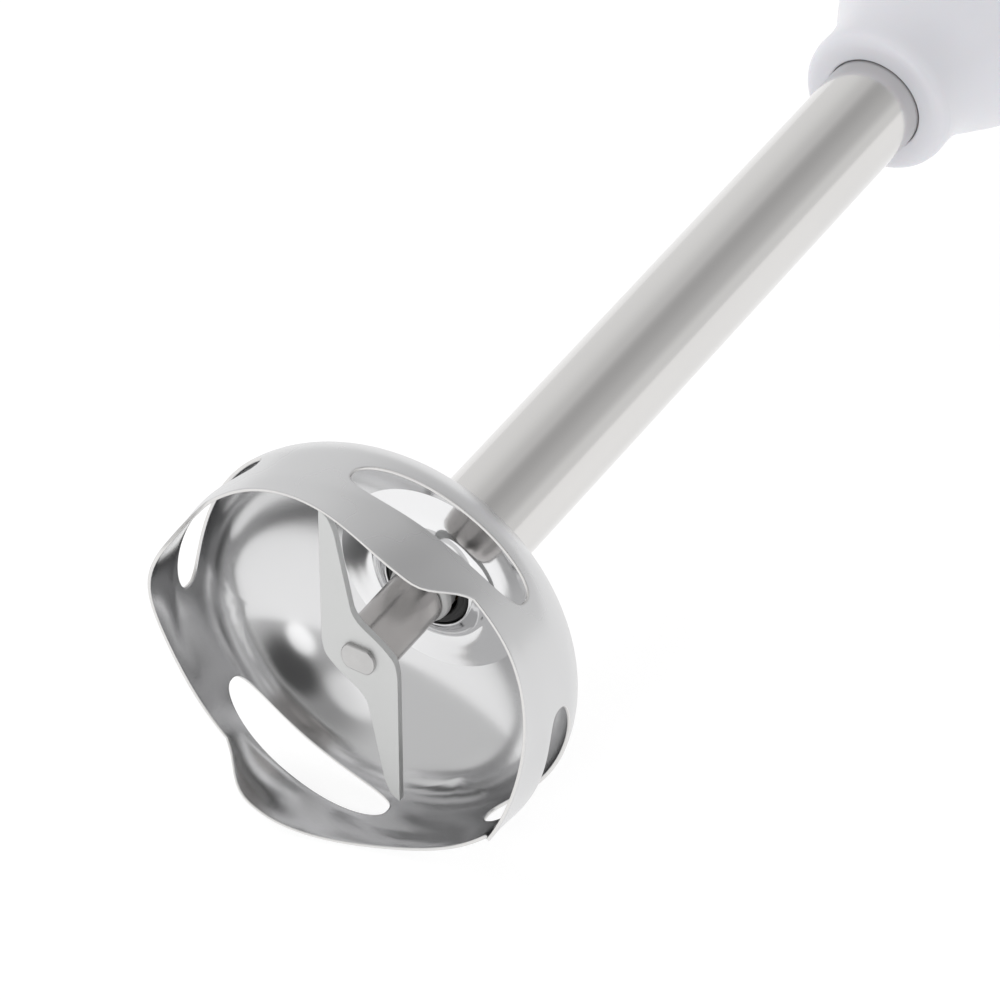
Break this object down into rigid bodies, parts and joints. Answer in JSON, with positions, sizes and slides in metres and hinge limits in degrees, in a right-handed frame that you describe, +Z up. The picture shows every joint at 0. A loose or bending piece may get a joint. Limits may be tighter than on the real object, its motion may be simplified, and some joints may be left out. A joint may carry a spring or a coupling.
{
  "type": "immersion blender",
  "caption": "Immersion blender: a steel stick with a wavy-rimmed slotted bell guard and flat two-winged blade, twist-locked on a motor body with soft buttons and a speed dial.",
  "frame": {"origin": "centre of the bounding box of the blender lying on its belly, on the surface it lies on", "axes": "+Y along the tool axis from the bell to the cord end, +Z up through the buttons, +X to the right"},
  "size_m": [0.066, 0.3806, 0.066],
  "materials": {
    "polished_steel": "bright drawn stainless sheet, satin outside and mirror polished inside",
    "satin_steel": "satin stainless",
    "blade_steel": "bead blasted stainless",
    "dark_steel": "dark turned steel",
    "shaft_steel": "turned steel",
    "grey_plastic": "moulded, fine texture",
    "white_plastic": "moulded, half gloss",
    "soft_grip": "soft touch, matte",
    "soft_button": "soft touch, matte",
    "black_rubber": "matte",
    "nylon": "natural nylon",
    "bronze": "sintered",
    "laminations": "stacked electrical sheet",
    "copper": "enamelled copper",
    "carbon": "pressed carbon",
    "capacitor": "moulded box",
    "board": "solder mask",
    "switch_plastic": "moulded",
    "spring_steel": "drawn wire"
  },
  "bodies": {
    "motor_body": {"upper_housing": "white_plastic", "lower_housing": "white_plastic", "end_cap": "grey_plastic", "control_panel": "grey_plastic", "grip_pad": "soft_grip", "bayonet_spigot": "nylon", "stator_core": "laminations", "upper_field_coil": "copper", "lower_field_coil": "copper", "front_bracket": "satin_steel", "rear_bracket": "satin_steel", "front_bearing": "bronze", "rear_bearing": "bronze", "left_brush_holder": "bronze", "right_brush_holder": "bronze", "left_brush": "carbon", "right_brush": "carbon", "circuit_board": "board", "power_switch": "switch_plastic", "turbo_switch": "switch_plastic", "power_spring": "spring_steel", "turbo_spring": "spring_steel", "speed_control": "switch_plastic", "cord_gland": "black_rubber", "suppression_capacitor": "capacitor", "housing_screw_1": "shaft_steel", "housing_screw_2": "shaft_steel", "housing_screw_3": "shaft_steel", "housing_screw_4": "shaft_steel"},
    "blending_stick": {"bell_guard": "polished_steel", "shaft_tube": "satin_steel", "shaft_seal": "black_rubber", "lower_bush": "bronze", "upper_bush": "bronze", "stick_collar": "white_plastic"},
    "blade_assembly": {"blade": "blade_steel", "blade_sleeve": "dark_steel", "thrust_ring": "grey_plastic", "drive_shaft": "shaft_steel", "shaft_coupling": "nylon"},
    "armature": {"armature_core": "laminations", "armature_winding": "copper", "commutator": "copper", "motor_shaft": "shaft_steel", "cooling_fan": "nylon", "drive_dog": "shaft_steel"},
    "power_button": {"power_button": "soft_button"},
    "turbo_button": {"turbo_button": "soft_button"},
    "speed_dial": {"speed_dial": "soft_button"}
  },
  "joints": [
    {"name": "armature_spin", "type": "hinge", "parent": "motor_body", "child": "armature", "pos_m": [0, 0.1113, 0.033], "axis": [0, 1, 0], "continuous": true},
    {"name": "blade_spin", "type": "hinge", "parent": "motor_body", "child": "blade_assembly", "pos_m": [0, -0.1807, 0.033], "axis": [0, 1, 0], "continuous": true},
    {"name": "stick_twist", "type": "hinge", "parent": "motor_body", "child": "blending_stick", "pos_m": [0, 0.0093, 0.033], "axis": [0, 1, 0], "range_deg": [0, 35]},
    {"name": "power_press", "type": "slide", "parent": "motor_body", "child": "power_button", "axis": [0, 0, -1], "range_m": [0, 0.0025], "stiffness_N_per_m": 800, "springref_m": -0.002, "deforming": ["power_spring"]},
    {"name": "turbo_press", "type": "slide", "parent": "motor_body", "child": "turbo_button", "axis": [0, 0, -1], "range_m": [0, 0.0025], "stiffness_N_per_m": 800, "springref_m": -0.002, "deforming": ["turbo_spring"]},
    {"name": "dial_turn", "type": "hinge", "parent": "motor_body", "child": "speed_dial", "pos_m": [0, 0.1863, 0.038], "axis": [0, 1, 0], "range_deg": [0, 270]}
  ],
  "couplings": [
    {"joint": "blade_spin", "follows": "armature_spin", "ratio": 1}
  ]
}
